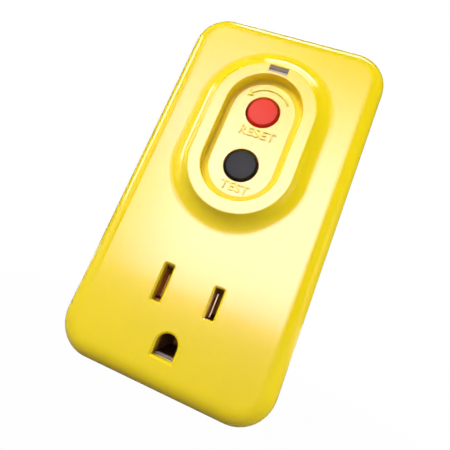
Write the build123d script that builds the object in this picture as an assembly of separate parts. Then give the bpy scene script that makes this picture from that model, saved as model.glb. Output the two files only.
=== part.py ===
from build123d import *
import math
import os

os.makedirs("parts", exist_ok=True)

# Plug-in RCD adapter with one outlet. X runs to the right as seen from the front,
# Z up, Y into the wall. The origin lies on the wall side of the case, midway
# between the two flat blades. All lengths are in millimetres.

# Case
face_below_ground = 10.55
face_above_solenoid = 4.05
corner_radius = 9.3
edge_radius = 4.5
back_edge_radius = 2.0
draft_angle = 1.15
front_wall = 2.4
side_wall = 2.2
rear_wall = 2.5
rear_depth = 13.0
lip_height = 2.0
lip_thickness = 1.0
lip_gap = 0.1
cut_overrun = 1.0
plane_match = 0.001

# Outlet face and plug
blade_pitch = 12.7
ground_drop = 11.9
slot_width = 2.15
long_slot_height = 8.65
short_slot_height = 7.1
slot_corner_radius = 0.3
slot_lead_in = 0.45
ground_slot_radius = 2.5
ground_slot_flat = 2.9
blade_thickness = 1.5
line_blade_width = 6.35
neutral_blade_width = 7.9
blade_length = 17.0
blade_shoulder = 1.0
blade_shoulder_depth = 2.0
blade_tip_chamfer = 0.4
blade_corner_radius = 1.2
blade_hole_radius = 1.6
blade_hole_reach = 11.9
blade_gap = 0.05
ground_pin_radius = 2.38
ground_pin_length = 20.5
ground_tip_radius = 1.8
ground_seat_radius = 3.0
ground_flange_radius = 4.0
ground_flange_depth = 1.6

# Collar round the buttons
button_pitch = 14.8
collar_inner_radius = 9.45
collar_outer_radius = 12.9
collar_foot_radius = 17.5
collar_height = 2.6
collar_edge_radius = 0.3
collar_rim_radius = 0.5
collar_root = 0.8
pad_radius = 7.83
pad_height = 0.5
pad_edge_radius = 0.5
pad_border = 1.2
groove_radius = 0.5

# Buttons
reset_travel = 1.6
test_travel = 1.2
button_radius = 4.06
button_hole_gap = 0.25
button_rise = 0.3
button_dome = 0.4
button_edge_radius = 0.35
button_flange_radius = 5.1
button_flange = 1.0
button_flange_gap = 0.3
button_boss_radius = 1.9
button_boss_length = 1.8
button_spring_solid = 2.2
button_spring_radius = 2.7
button_spring_wire = 0.6

# Indicator
window_width = 4.9
window_height = 2.0
window_inset = 0.5
lens_sink = 0.15
lens_flange = 0.8
lens_flange_overlap = 0.8
lens_gap = 0.05
led_radius = 1.5
led_length = 2.0
led_gap = 0.3
indicator_board_width = 16.0
indicator_board_height = 6.4
indicator_board_thickness = 1.0
indicator_post_radius = 1.4
indicator_post_inset = 1.5
link_pin_radius = 0.4
link_pin_inset = 1.2

# Screws
screw_inset = 7.4
boss_radius = 3.4
boss_gap = 0.3
boss_side_gap = 2.55
screw_radius = 1.4
screw_head_radius = 2.7
screw_head_height = 2.0
screw_recess = 4.5
screw_length = 18.0
screw_gap = 0.05
screw_slot_width = 0.6
screw_slot_depth = 0.8
screw_clearance = 0.3

# Plug insulation and conductors
block_width = 26.0
block_bottom_gap = 4.85
block_above = 6.6
block_depth = 6.0
strap_thickness = 0.8
strap_width = 3.2
strap_gap = 0.1
retainer_depth = 2.7
bus_spacing = 1.0

# Outlet contacts
contact_thickness = 0.6
contact_grip = 0.15
contact_mouth = 0.5
contact_foot = 1.25
contact_flare = 2.2
contact_grip_length = 3.0
contact_height = 7.0
contact_clear = 0.3
contact_front_gap = 1.6
ground_contact_height = 5.2

# Main board
board_thickness = 1.6
board_side_gap = 2.65
board_top_gap = 1.65
board_bottom_margin = 0.3
board_post_radius = 2.6
board_post_side_inset = 3.9
board_post_end_inset = 12.5
board_screw_radius = 1.2
board_screw_head = 2.2
board_screw_head_height = 1.4
board_screw_length = 5.0
board_notch_gap = 0.6

# Current transformers
transformer_rise = 4.2
transformer_radius = 8.4
transformer_wall = 0.8
transformer_bore = 3.4
transformer_gap = 0.2
core_inner_radius = 5.0
core_outer_radius = 6.4
core_inset = 1.2
winding_thickness = 0.55
winding_gap = 0.05
winding_sweep = 280.0

# Reset mechanism
carrier_spring_solid = 2.4
carrier_spring_radius = 1.8
carrier_spring_wire = 0.5
carrier_depth = 4.75
carrier_half_width = 5.0
carrier_arm_half_height = 2.0
carrier_top = 3.6
carrier_bottom = 8.4
bridge_thickness = 0.8
bridge_height = 2.8
bridge_contact_depth = 0.8
contact_gap = 0.05
fixed_contact_depth = 1.0
silver_radius = 1.4
load_contact_inset = 4.0
contact_spacing = 6.0
guide_gap = 0.8
guide_plate = 1.5
guide_side_gap = 0.9
guide_leg = 2.0
guide_leg_height = 1.5
guide_above_reset = 6.9
guide_below_test = 5.6
running_gap = 0.1
pin_radius = 1.0
pin_neck_radius = 0.6
pin_neck_margin = 0.4
pin_seat = 1.5
pin_end_margin = 0.8
latch_thickness = 0.8
latch_half_width = 3.2
latch_below = 3.2
latch_above = 5.3
latch_hole_radius = 1.25
latch_neck_gap = 0.15
latch_slot_gap = 0.1
latch_travel = 1.6
latch_spring_length = 4.0
latch_spring_radius = 1.0
latch_spring_wire = 0.4
plunger_gap = 0.3

# Solenoid
solenoid_plate = 0.9
solenoid_lift = 0.35
solenoid_half_width = 5.4
bobbin_length = 13.0
bobbin_flange_radius = 5.1
bobbin_flange = 0.9
bobbin_tube_radius = 2.5
bobbin_bore_radius = 2.05
coil_radius = 4.8
plunger_radius = 1.95
plunger_rod_radius = 0.9
plunger_spring_length = 3.8
plunger_spring_radius = 1.8
plunger_spring_wire = 0.5
plunger_body_length = 7.0

# Test switch
test_stem_radius = 1.6
test_stem_end_gap = 0.3
test_leaf_thickness = 0.3
test_leaf_half_width = 1.8
test_leaf_room = 4.6
test_leaf_below = 3.9
test_leaf_clearance = 0.65
test_leaf_above = 2.2
test_foot = 1.5
test_post_radius = 0.8
test_post_gap = 0.05
test_post_offset = 1.2

# Parts soldered to the rear of the main board
chip_width = 4.0
chip_height = 5.0
chip_depth = 1.6
chip_lift = 0.1
chip_pin_width = 0.4
chip_pin_length = 1.0
chip_pin_thickness = 0.2
chip_pin_pitch = 1.27
chip_pins_per_side = 4
chip_rise = 4.0
thyristor_size = 4.5
thyristor_depth = 3.5
varistor_radius = 4.5
varistor_depth = 3.6
capacitor_width = 10.0
capacitor_height = 8.0
capacitor_depth = 5.2
diode_radius = 1.0
diode_length = 4.2
diode_rise = 12.8
diode_pitch = 3.2
diode_count = 4
resistor_radius = 0.9
resistor_length = 3.6
resistor_rise = 7.8
resistor_pitch = 2.8
resistor_count = 2
test_resistor_radius = 1.2
test_resistor_length = 6.0
lead_radius = 0.3
lead_length = 1.5
part_lift = 0.1
part_column_x = 9.0
part_column_gap = 4.0

right_angle = 90
half_turn = 180

# Planes across the case, from the wall side forward
floor_y = -rear_wall
block_front_y = floor_y - block_depth
strap_front_y = block_front_y - strap_thickness
board_back_y = strap_front_y - strap_gap
board_front_y = board_back_y - board_thickness
retainer_front_y = strap_front_y - retainer_depth
carrier_back_y = board_front_y - carrier_spring_solid - reset_travel
carrier_front_y = carrier_back_y - carrier_depth
bridge_front_y = carrier_front_y - bridge_thickness
bridge_contact_front_y = bridge_front_y - bridge_contact_depth
fixed_contact_back_y = bridge_contact_front_y - contact_gap
load_back_y = fixed_contact_back_y - fixed_contact_depth
load_front_y = load_back_y - strap_thickness
guide_back_y = load_front_y - guide_gap
guide_front_y = guide_back_y - guide_plate
flange_back_y = guide_front_y - button_spring_solid - reset_travel
flange_front_y = flange_back_y - button_flange
wall_inner_y = flange_front_y - button_flange_gap
front_y = wall_inner_y - front_wall
split_y = -rear_depth
latch_y = (carrier_front_y + carrier_back_y) / 2
contact_back_y = retainer_front_y
contact_front_y = wall_inner_y + contact_front_gap
transformer_front_y = load_back_y + transformer_gap
test_leaf_front_y = board_front_y - test_leaf_room - test_leaf_thickness
pin_front_y = flange_front_y + button_boss_length - pin_seat
indicator_front_y = wall_inner_y + lens_flange + led_gap + led_length
indicator_back_y = indicator_front_y + indicator_board_thickness
board_screw_tip_y = board_front_y + board_screw_length
screw_seat_y = -screw_recess
screw_tip_y = screw_seat_y - screw_length

# Places across the case
half_pitch = blade_pitch / 2
boss_x = block_width / 2 + boss_side_gap + boss_radius
body_width = 2 * (boss_x + screw_inset)
board_half_width = body_width / 2 - side_wall - board_side_gap
load_contact_x = board_half_width - load_contact_inset
line_contact_x = load_contact_x - contact_spacing
guide_half_width = line_contact_x - strap_width / 2 - guide_side_gap
board_post_x = board_half_width - board_post_side_inset
link_pin_x = indicator_board_width / 2 - link_pin_inset
indicator_post_x = link_pin_x - indicator_post_inset
contact_base_half = blade_thickness / 2 + contact_foot
bridge_x = (line_contact_x + load_contact_x) / 2
bridge_half = (load_contact_x - line_contact_x) / 2 + silver_radius

# Places up the case, from the lower end
case_bottom_z = -ground_drop - face_below_ground
block_bottom_z = case_bottom_z + block_bottom_gap
transformer_z = block_above + transformer_rise + transformer_radius
board_bottom_z = transformer_z - transformer_radius - board_bottom_margin
test_z = transformer_z + transformer_radius + test_leaf_clearance + test_leaf_below
reset_z = test_z + button_pitch
collar_centre_z = (test_z + reset_z) / 2
window_z = reset_z + collar_inner_radius + window_inset + window_height / 2
guide_top_z = reset_z + guide_above_reset
guide_bottom_z = test_z - guide_below_test
solenoid_bottom_z = guide_top_z + solenoid_lift
bobbin_bottom_z = solenoid_bottom_z + solenoid_plate
bobbin_top_z = bobbin_bottom_z + bobbin_length
solenoid_top_z = bobbin_top_z + solenoid_plate
latch_top_z = reset_z + latch_above
latch_bottom_z = reset_z - latch_below
case_top_z = solenoid_top_z + face_above_solenoid
body_height = case_top_z - case_bottom_z
body_centre_z = (case_top_z + case_bottom_z) / 2
board_top_z = case_top_z - side_wall - board_top_gap
boss_zs = (case_bottom_z + screw_inset, case_top_z - screw_inset)
boss_places = [(x, z) for x in (-boss_x, boss_x) for z in boss_zs]
board_post_places = [
    (x, z)
    for x in (-board_post_x, board_post_x)
    for z in (board_bottom_z + board_post_end_inset, board_top_z - board_post_end_inset)
]

resistor_low_z = transformer_z + resistor_rise
resistor_high_z = resistor_low_z + (resistor_count - 1) * resistor_pitch
thyristor_z = resistor_high_z + resistor_radius + part_column_gap + thyristor_size / 2
capacitor_z = thyristor_z + thyristor_size / 2 + part_column_gap + capacitor_height / 2
diode_low_z = transformer_z + diode_rise
diode_high_z = diode_low_z + (diode_count - 1) * diode_pitch
varistor_z = diode_high_z + diode_radius + part_column_gap + varistor_radius
chip_z = thyristor_z + chip_rise


def block(x0, x1, y0, y1, z0, z1):
    """A box between two corners."""
    size = Box(abs(x1 - x0), abs(y1 - y0), abs(z1 - z0))
    return Pos((x0 + x1) / 2, (y0 + y1) / 2, (z0 + z1) / 2) * size


def rod(radius, x, z, y0, y1):
    """A round bar along Y."""
    bar = Rot(right_angle, 0, 0) * Cylinder(radius, abs(y1 - y0))
    return Pos(x, (y0 + y1) / 2, z) * bar


def tube(radius, wall, x, z, y0, y1):
    """A sleeve along Y."""
    return rod(radius, x, z, y0, y1) - rod(radius - wall, x, z, y0, y1)


def post(radius, x, y, z0, z1):
    """A round bar along Z."""
    return Pos(x, y, (z0 + z1) / 2) * Cylinder(radius, abs(z1 - z0))


def sleeve(radius, wall, x, y, z0, z1):
    """A sleeve along Z."""
    return post(radius, x, y, z0, z1) - post(radius - wall, x, y, z0, z1)


def front_plane(y, z=0):
    """A plane across the case at depth y, facing the user."""
    return Plane(origin=(0, y, z), x_dir=(1, 0, 0), z_dir=(0, -1, 0))


def back_plane(y, z=0):
    """A plane across the case at depth y, facing the wall."""
    return Plane(origin=(0, y, z), x_dir=(-1, 0, 0), z_dir=(0, 1, 0))


def edges_at(part, y):
    """The edges that lie wholly in the plane at depth y."""
    return part.edges().filter_by_position(Axis.Y, y - plane_match, y + plane_match)


def case_half(plane, inset, depth):
    """A drafted rounded block that stands on the parting plane."""
    outline = RectangleRounded(
        body_width - 2 * inset, body_height - 2 * inset, corner_radius - inset
    )
    return extrude(plane * (Pos(0, body_centre_z) * outline), amount=depth, taper=draft_angle)


def stadium(radius, y0, y1):
    """An upright round-ended block about the two button axes."""
    outline = SlotCenterToCenter(button_pitch, 2 * radius, rotation=right_angle)
    return extrude(front_plane(y0, collar_centre_z) * outline, amount=y0 - y1)


def collar_section():
    """Half the section of collar, groove and pad edge, as distance from a button axis and depth."""
    top_y = front_y - collar_height
    root_y = front_y + collar_root
    edge = collar_edge_radius
    rim = collar_rim_radius
    run = collar_foot_radius - collar_outer_radius + rim
    turn = 2 * math.atan2(collar_height, run)
    cove = run / math.sin(turn) - rim
    corner_share = math.sin(math.pi / 4)
    core = pad_radius - pad_border
    rim_start = collar_outer_radius - rim
    rim_end = (rim_start + rim * math.sin(turn), top_y + rim * (1 - math.cos(turn)))
    lines = [
        Line((core, root_y), (core, front_y - pad_height)),
        FilletPolyline(
            (core, front_y - pad_height),
            (pad_radius, front_y - pad_height),
            (collar_inner_radius, front_y),
            (collar_inner_radius, top_y + edge),
            radius=(pad_edge_radius, groove_radius),
        ),
        ThreePointArc(
            (collar_inner_radius, top_y + edge),
            (
                collar_inner_radius + edge * (1 - corner_share),
                top_y + edge * (1 - corner_share),
            ),
            (collar_inner_radius + edge, top_y),
        ),
        Line((collar_inner_radius + edge, top_y), (rim_start, top_y)),
        ThreePointArc(
            (rim_start, top_y),
            (rim_start + rim * math.sin(turn / 2), top_y + rim * (1 - math.cos(turn / 2))),
            rim_end,
        ),
        ThreePointArc(
            rim_end,
            (
                collar_foot_radius - cove * math.sin(turn / 2),
                front_y - cove * (1 - math.cos(turn / 2)),
            ),
            (collar_foot_radius, front_y),
        ),
        Line((collar_foot_radius, front_y), (collar_foot_radius, root_y)),
        Line((collar_foot_radius, root_y), (core, root_y)),
    ]
    return make_face(Curve() + lines)


def collar():
    """The collar, its groove and the pad's edge, carried round both buttons."""
    section = collar_section()
    low = Pos(0, 0, test_z) * section
    high = Pos(0, 0, reset_z) * section
    left = mirror(section, about=Plane.YZ)
    sides = [extrude(Pos(0, 0, test_z) * s, amount=button_pitch, dir=(0, 0, 1)) for s in (section, left)]
    upper = revolve(high, axis=Axis((0, 0, reset_z), (0, 1, 0)), revolution_arc=-half_turn)
    lower = revolve(low, axis=Axis((0, 0, test_z), (0, 1, 0)), revolution_arc=half_turn)
    return sides[0] + sides[1] + upper + lower


def ground_slot(grow):
    """The ground opening's outline: round above the pin, flat below it."""
    radius = ground_slot_radius + grow
    flat = ground_slot_flat + grow
    skirt = Pos(0, -flat / 2) * Rectangle(2 * radius, flat)
    return Pos(0, -ground_drop) * (Circle(radius) + skirt)


def outlet_outlines():
    """The three openings of the outlet, neutral on the left."""
    neutral = Pos(-half_pitch, 0) * RectangleRounded(
        slot_width, long_slot_height, slot_corner_radius
    )
    line = Pos(half_pitch, 0) * RectangleRounded(
        slot_width, short_slot_height, slot_corner_radius
    )
    return [neutral, line, ground_slot(0)]


def front_shell():
    """The drafted front half of the case with its outlet openings."""
    outer = case_half(front_plane(split_y), 0, split_y - front_y)
    outer = fillet(edges_at(outer, front_y), edge_radius)
    inner = case_half(front_plane(split_y), side_wall, split_y - wall_inner_y)
    inner = fillet(edges_at(inner, wall_inner_y), edge_radius - front_wall)
    shell = outer - inner
    for outline in outlet_outlines():
        base = front_plane(wall_inner_y + cut_overrun) * outline
        shell -= extrude(base, amount=front_wall + 2 * cut_overrun)
        shell -= flared(outline)
    return shell


def flared(outline):
    """The lead-in chamfer of one outlet opening."""
    base = front_plane(front_y + slot_lead_in) * outline
    return extrude(base, amount=slot_lead_in, taper=-right_angle / 2)


def front_cover():
    """The front half of the case, with collar, pad, bosses and indicator posts."""
    cover = front_shell() + collar()
    cover += stadium(pad_radius - pad_border, front_y + collar_root, front_y - pad_height)
    for z in (reset_z, test_z):
        hole = button_radius + button_hole_gap
        cover -= rod(hole, 0, z, front_y - collar_height, wall_inner_y + cut_overrun)
    cover -= block(
        -window_width / 2, window_width / 2,
        front_y - collar_height - cut_overrun, wall_inner_y + cut_overrun,
        window_z - window_height / 2, window_z + window_height / 2,
    )
    for x, z in boss_places:
        cover += rod(boss_radius, x, z, wall_inner_y, split_y)
    for x in (-indicator_post_x, indicator_post_x):
        cover += rod(indicator_post_radius, x, window_z, wall_inner_y, indicator_front_y)
    for x, z in boss_places:
        cover -= rod(screw_radius + screw_gap, x, z, split_y, screw_tip_y)
    return cover


def rear_cover():
    """The wall-side half of the case, with its lip, bosses and board posts."""
    outer = case_half(back_plane(split_y), 0, rear_depth)
    outer = fillet(edges_at(outer, 0), back_edge_radius)
    inner = case_half(back_plane(split_y), side_wall, rear_depth - rear_wall)
    cover = outer - inner
    lip_inset = side_wall + lip_gap
    lip_base = split_y + lip_height
    outer_lip = case_half(front_plane(lip_base), lip_inset, 2 * lip_height)
    inner_lip = case_half(front_plane(lip_base), lip_inset + lip_thickness, 2 * lip_height)
    lip = outer_lip - inner_lip
    joined = case_half(front_plane(lip_base), side_wall - lip_gap, lip_height)
    core = case_half(front_plane(lip_base), lip_inset + lip_thickness, lip_height)
    cover += lip + (joined - core)
    for x, z in boss_places:
        cover -= rod(boss_radius + boss_gap, x, z, split_y, split_y - 2 * lip_height)
        cover += rod(boss_radius, x, z, split_y, floor_y)
    for x, z in boss_places:
        cover -= rod(screw_radius + screw_clearance, x, z, split_y, screw_seat_y)
        cover -= rod(screw_head_radius + screw_clearance, x, z, screw_seat_y, cut_overrun)
    for x, z in board_post_places:
        cover += rod(board_post_radius, x, z, board_back_y, floor_y)
        cover -= rod(board_screw_radius + screw_gap, x, z, board_back_y, board_screw_tip_y)
    return cover - plug_openings(floor_y - cut_overrun, cut_overrun)


def plug_openings(y0, y1):
    """Passages for the blades and the ground pin's spigot."""
    half = blade_thickness / 2 + blade_gap
    tool = rod(ground_seat_radius + blade_gap, 0, -ground_drop, y0, y1)
    for side, width in ((1, line_blade_width), (-1, neutral_blade_width)):
        x = side * half_pitch
        reach = width / 2 + blade_gap
        tool += block(x - half, x + half, y0, y1, -reach, reach)
    return tool


def blade_block():
    """The insulating block that holds the blades and the ground pin."""
    solid = block(
        -block_width / 2, block_width / 2, block_front_y, floor_y, block_bottom_z, block_above
    )
    solid -= plug_openings(block_front_y, floor_y)
    half = blade_thickness / 2 + blade_gap
    shoulder_y = block_front_y + blade_shoulder_depth + blade_gap
    for side, width in ((1, line_blade_width), (-1, neutral_blade_width)):
        x = side * half_pitch
        reach = width / 2 + blade_shoulder + blade_gap
        solid -= block(x - half, x + half, block_front_y, shoulder_y, -reach, reach)
    flange_y = block_front_y + ground_flange_depth + blade_gap
    return solid - rod(ground_flange_radius + blade_gap, 0, -ground_drop, block_front_y, flange_y)


def blade(side, width):
    """A flat blade with a bevelled tip, a locking hole and shoulders inside."""
    x = side * half_pitch
    half = blade_thickness / 2
    tongue = block(x - half, x + half, block_front_y, blade_length, -width / 2, width / 2)
    tongue = fillet(tongue.edges().filter_by(Axis.X).group_by(Axis.Y)[-1], blade_corner_radius)
    tip = tongue.edges().filter_by_position(
        Axis.Y, blade_length - blade_corner_radius + plane_match, blade_length + plane_match
    )
    tongue = chamfer([e for e in tip if e not in tip.filter_by(Axis.X)], blade_tip_chamfer)
    reach = width / 2 + blade_shoulder
    shoulder_y = block_front_y + blade_shoulder_depth
    tongue += block(x - half, x + half, block_front_y, shoulder_y, -reach, reach)
    hole = Rot(0, right_angle, 0) * Cylinder(blade_hole_radius, 2 * blade_thickness)
    return tongue - Pos(x, blade_hole_reach, 0) * hole


def ground_pin():
    """The round ground pin with its spigot and flange inside the case."""
    pin = rod(ground_pin_radius, 0, -ground_drop, 0, ground_pin_length)
    pin = fillet(edges_at(pin, ground_pin_length), ground_tip_radius)
    pin += rod(ground_seat_radius, 0, -ground_drop, 0, retainer_front_y)
    flange_y = block_front_y + ground_flange_depth
    return pin + rod(ground_flange_radius, 0, -ground_drop, block_front_y, flange_y)


def bus(side):
    """The strap from a blade, through the current transformers, to a fixed contact."""
    inner = bus_spacing
    outer = bus_spacing + strap_thickness
    half = strap_width / 2
    low_z = transformer_z - half
    high_z = transformer_z + half
    rise = block(
        half_pitch - half, half_pitch + half, strap_front_y, block_front_y, -half, high_z
    )
    cross = block(inner, half_pitch + half, strap_front_y, block_front_y, low_z, high_z)
    through = block(inner, outer, load_front_y, block_front_y, low_z, high_z)
    out = block(inner, line_contact_x + half, load_front_y, load_back_y, low_z, high_z)
    up = block(
        line_contact_x - half, line_contact_x + half, load_front_y, load_back_y, low_z, reset_z + half
    )
    strap = rise + cross + through + out + up
    return strap if side > 0 else mirror(strap, about=Plane.YZ)


def load_bar(side):
    """The bar from a fixed contact down to an outlet contact."""
    half = strap_width / 2
    outlet_edge = half_pitch + contact_foot + blade_thickness / 2 + contact_thickness
    drop = block(
        load_contact_x - half, load_contact_x + half, load_front_y, load_back_y, -half, reset_z + half
    )
    inward = block(outlet_edge, load_contact_x + half, load_front_y, load_back_y, -half, half)
    bar = drop + inward
    return bar if side > 0 else mirror(bar, about=Plane.YZ)


def outlet_contact(side):
    """A folded contact with two sprung leaves that grip a blade."""
    grip_half = blade_thickness / 2 + contact_grip
    mouth_half = grip_half + contact_mouth
    base_y = contact_back_y - contact_thickness
    grip_y = contact_front_y + contact_flare
    path = [
        (contact_base_half, contact_back_y),
        (contact_base_half, load_front_y),
        (grip_half, grip_y + contact_grip_length / 2),
        (grip_half, grip_y),
        (mouth_half, contact_front_y),
    ]
    outer = [(x + contact_thickness, y) for x, y in path]
    leaf = make_face(Polyline(*path, *reversed(outer), close=True))
    leaf = extrude(leaf, amount=contact_height / 2, both=True)
    base = block(
        -contact_base_half, contact_base_half, base_y, contact_back_y, -contact_height / 2, contact_height / 2
    )
    contact = leaf + mirror(leaf, about=Plane.YZ) + base
    return Pos(side * half_pitch, 0, 0) * contact


def ground_contact():
    """A channel-shaped contact with a leaf on each side of the ground pin."""
    half = ground_pin_radius + contact_grip
    low_z = -ground_drop - ground_contact_height / 2
    high_z = low_z + ground_contact_height
    base_y = contact_back_y - contact_thickness
    channel = block(
        -half - contact_thickness, half + contact_thickness, contact_back_y, contact_front_y, low_z, high_z
    )
    return channel - block(-half, half, base_y, contact_front_y, low_z, high_z)


def outlet_housing():
    """The insulating housing with one cell for each outlet contact."""
    solid = block(
        -block_width / 2, block_width / 2, contact_back_y, wall_inner_y, block_bottom_z, block_above
    )
    cell = contact_base_half + contact_thickness + contact_clear
    reach = contact_height / 2 + contact_clear
    for x in (-half_pitch, half_pitch):
        solid -= block(x - cell, x + cell, contact_back_y, wall_inner_y, -reach, reach)
    ground_half = ground_pin_radius + contact_grip + contact_thickness + contact_clear
    ground_low = ground_slot_flat + contact_clear
    ground_high = ground_contact_height / 2 + contact_clear
    solid -= block(
        -ground_half, ground_half, contact_back_y, wall_inner_y,
        -ground_drop - ground_low, -ground_drop + ground_high,
    )
    notch = strap_width / 2 + contact_clear
    return solid - block(
        -block_width, block_width, load_back_y + contact_clear, load_front_y - contact_clear, -notch, notch
    )


def contact_retainer():
    """The insulating plate that closes the contact cells from behind."""
    solid = block(
        -block_width / 2, block_width / 2, contact_back_y, strap_front_y, block_bottom_z, block_above
    )
    return solid - rod(
        ground_seat_radius + blade_gap, 0, -ground_drop, contact_back_y, strap_front_y
    )


def main_board():
    """The printed circuit board behind the mechanism."""
    half = board_half_width
    board = block(-half, half, board_front_y, board_back_y, board_bottom_z, board_top_z)
    notch_x = boss_x - boss_radius - board_notch_gap
    notch_z = boss_zs[1] - boss_radius - board_notch_gap
    for side in (-1, 1):
        board -= block(side * notch_x, side * body_width, board_front_y, board_back_y, notch_z, case_top_z)
    board -= rod(transformer_bore, 0, transformer_z, board_front_y, board_back_y)
    for x, z in board_post_places:
        board -= rod(board_screw_radius + screw_clearance, x, z, board_front_y, board_back_y)
    for x in (-link_pin_x, link_pin_x):
        board -= rod(link_pin_radius + screw_gap, x, window_z, board_front_y, board_back_y)
    return board


def screw(x, z, radius, head_radius, seat_y, head_y, tip_y):
    """A pan-head screw along Y with a straight slot in its head."""
    body = rod(radius, x, z, seat_y, tip_y) + rod(head_radius, x, z, head_y, seat_y)
    inward = math.copysign(screw_slot_depth, seat_y - head_y)
    half = screw_slot_width / 2
    return body - block(
        x - 2 * head_radius, x + 2 * head_radius, head_y, head_y + inward, z - half, z + half
    )


def cover_screws():
    """The four long screws that close the case from the wall side."""
    head_y = screw_seat_y + screw_head_height
    return [
        screw(x, z, screw_radius, screw_head_radius, screw_seat_y, head_y, screw_tip_y)
        for x, z in boss_places
    ]


def board_screws():
    """The four short screws that hold the main board."""
    head_y = board_front_y - board_screw_head_height
    return [
        screw(x, z, board_screw_radius, board_screw_head, board_front_y, head_y, board_screw_tip_y)
        for x, z in board_post_places
    ]


def transformer_case():
    """The round moulded case of the two current transformers."""
    case = tube(
        transformer_radius, transformer_radius - transformer_bore, 0, transformer_z,
        transformer_front_y, board_front_y,
    )
    inner_radius = transformer_bore + transformer_wall
    hollow = tube(
        transformer_radius - transformer_wall, transformer_radius - transformer_wall - inner_radius,
        0, transformer_z, transformer_front_y + transformer_wall, board_front_y,
    )
    return case - hollow


def core_span(index):
    """The depth range that one ring core fills, the first nearest the board."""
    room = board_front_y - transformer_front_y - transformer_wall
    share = room / 2
    back_y = board_front_y - index * share
    return back_y - share + core_inset, back_y - core_inset


def ring_core(index):
    """A ferrite ring round both bus straps."""
    y0, y1 = core_span(index)
    return tube(
        core_outer_radius, core_outer_radius - core_inner_radius, 0, transformer_z, y0, y1
    )


def ring_winding(index):
    """The wound part of a ring core, open over one sector."""
    y0, y1 = core_span(index)
    gap = winding_gap
    grow = winding_gap + winding_thickness
    inner = make_face(
        Polyline(
            (core_inner_radius - gap, y0 - gap), (core_outer_radius + gap, y0 - gap),
            (core_outer_radius + gap, y1 + gap), (core_inner_radius - gap, y1 + gap), close=True,
        )
    )
    outer = make_face(
        Polyline(
            (core_inner_radius - grow, y0 - grow), (core_outer_radius + grow, y0 - grow),
            (core_outer_radius + grow, y1 + grow), (core_inner_radius - grow, y1 + grow), close=True,
        )
    )
    section = Pos(0, 0, transformer_z) * (outer - inner)
    return revolve(section, axis=Axis((0, 0, transformer_z), (0, 1, 0)), revolution_arc=winding_sweep)


def button(z, stem):
    """A domed push button with its retaining flange and a stem."""
    rim_y = front_y - pad_height - button_rise
    top_y = rim_y - button_dome
    ball = (button_radius**2 + button_dome**2) / (2 * button_dome)
    half = button_radius / 2
    half_y = top_y + ball - math.sqrt(ball**2 - half**2)
    outline = [
        ThreePointArc((0, top_y), (half, half_y), (button_radius, rim_y)),
        Polyline(
            (button_radius, rim_y),
            (button_radius, flange_front_y),
            (button_flange_radius, flange_front_y),
            (button_flange_radius, flange_back_y),
            (0, flange_back_y),
            (0, top_y),
        ),
    ]
    cap = revolve(make_face(Curve() + outline), axis=Axis.Y)
    cap = Pos(0, 0, z) * fillet(edges_at(cap, rim_y), button_edge_radius)
    return cap + stem


def reset_button():
    """The red button, with a blind hole for the reset pin."""
    boss_end_y = flange_back_y + button_boss_length
    cap = button(reset_z, rod(button_boss_radius, 0, reset_z, flange_back_y, boss_end_y))
    return cap - rod(pin_radius + blade_gap, 0, reset_z, pin_front_y, boss_end_y)


def test_button():
    """The black button, whose stem reaches back to the test leaf."""
    stem = rod(test_stem_radius, 0, test_z, flange_back_y, test_leaf_front_y - test_stem_end_gap)
    return button(test_z, stem)


def button_spring(z):
    """The return spring behind a button."""
    return tube(button_spring_radius, button_spring_wire, 0, z, flange_back_y, guide_front_y)


def mechanism_guide():
    """The frame that guides the reset pin and the test stem."""
    half = guide_half_width
    frame = block(-half, half, guide_front_y, guide_back_y, guide_bottom_z, guide_top_z)
    frame -= rod(pin_radius + running_gap, 0, reset_z, guide_front_y, guide_back_y)
    frame -= rod(test_stem_radius + running_gap, 0, test_z, guide_front_y, guide_back_y)
    for x0, x1 in ((-half, guide_leg - half), (half - guide_leg, half)):
        for z0, z1 in (
            (guide_bottom_z, guide_bottom_z + guide_leg_height),
            (guide_top_z - guide_leg_height, guide_top_z),
        ):
            frame += block(x0, x1, guide_back_y, board_front_y, z0, z1)
    return frame


def reset_pin():
    """The steel pin whose neck sits in the latch plate's keyhole."""
    tip_y = carrier_back_y + pin_end_margin
    neck = latch_thickness / 2 + pin_neck_margin
    pin = rod(pin_radius, 0, reset_z, pin_front_y, tip_y)
    groove = tube(
        2 * pin_radius, 2 * pin_radius - pin_neck_radius, 0, reset_z, latch_y - neck, latch_y + neck
    )
    return pin - groove


def latch_plate():
    """The sliding steel plate with a keyhole round the pin's neck."""
    half = latch_thickness / 2
    plate = block(
        -latch_half_width, latch_half_width, latch_y - half, latch_y + half, latch_bottom_z, latch_top_z
    )
    neck = pin_neck_radius + latch_neck_gap
    plate -= rod(neck, 0, reset_z, latch_y - half, latch_y + half)
    plate -= block(-neck, neck, latch_y - half, latch_y + half, reset_z, reset_z + latch_travel)
    return plate - rod(latch_hole_radius, 0, reset_z + latch_travel, latch_y - half, latch_y + half)


def contact_carrier():
    """The moulded carrier with the latch slot and an arm for each bridge."""
    half = carrier_half_width
    arm = load_contact_x + silver_radius
    body = block(
        -half, half, carrier_front_y, carrier_back_y, reset_z - carrier_bottom, reset_z + carrier_top
    )
    body += block(
        -arm, arm, carrier_front_y, carrier_back_y,
        reset_z - carrier_arm_half_height, reset_z + carrier_arm_half_height,
    )
    body -= rod(pin_radius + running_gap, 0, reset_z, carrier_front_y, carrier_back_y)
    slot = latch_half_width + latch_slot_gap
    depth = latch_thickness / 2 + latch_slot_gap
    slot_bottom = latch_bottom_z - latch_travel - latch_slot_gap
    body -= block(-slot, slot, latch_y - depth, latch_y + depth, slot_bottom, reset_z + carrier_top)
    pocket_z = latch_bottom_z - latch_spring_length
    return body - post(latch_spring_radius + latch_slot_gap, 0, latch_y, pocket_z, latch_bottom_z)


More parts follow.
